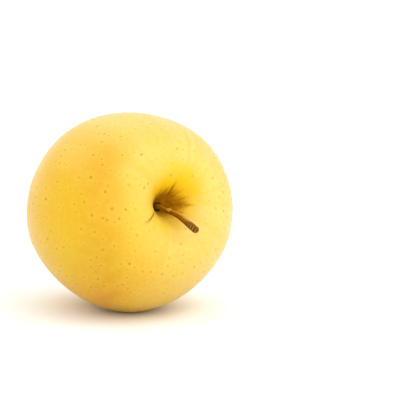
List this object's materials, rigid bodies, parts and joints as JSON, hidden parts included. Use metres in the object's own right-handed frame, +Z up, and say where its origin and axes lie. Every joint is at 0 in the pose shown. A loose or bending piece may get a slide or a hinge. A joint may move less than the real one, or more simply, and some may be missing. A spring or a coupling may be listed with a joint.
{
  "type": "whole golden apple",
  "caption": "Whole golden-yellow eating apple lying on its flank, with a curved woody stem in a deep cavity and a dried calyx at the foot.",
  "frame": {"origin": "middle of the small flat spot that the apple lies on, under its centre of mass", "axes": "+Z up from the table, -Y towards the stem end, whose core rises 10.6 degrees, X across the core"},
  "size_m": [0.076, 0.0877, 0.0735],
  "materials": {
    "skin": "waxy golden-yellow skin with fine olive dots, brown russet in the stem cavity",
    "stem_wood": "dry brown bark, satin on the upper side",
    "dry_calyx": "withered, matte, fuzzy"
  },
  "bodies": {
    "root": {"fruit": "skin", "stem": "stem_wood", "calyx": "dry_calyx"}
  },
  "joints": []
}
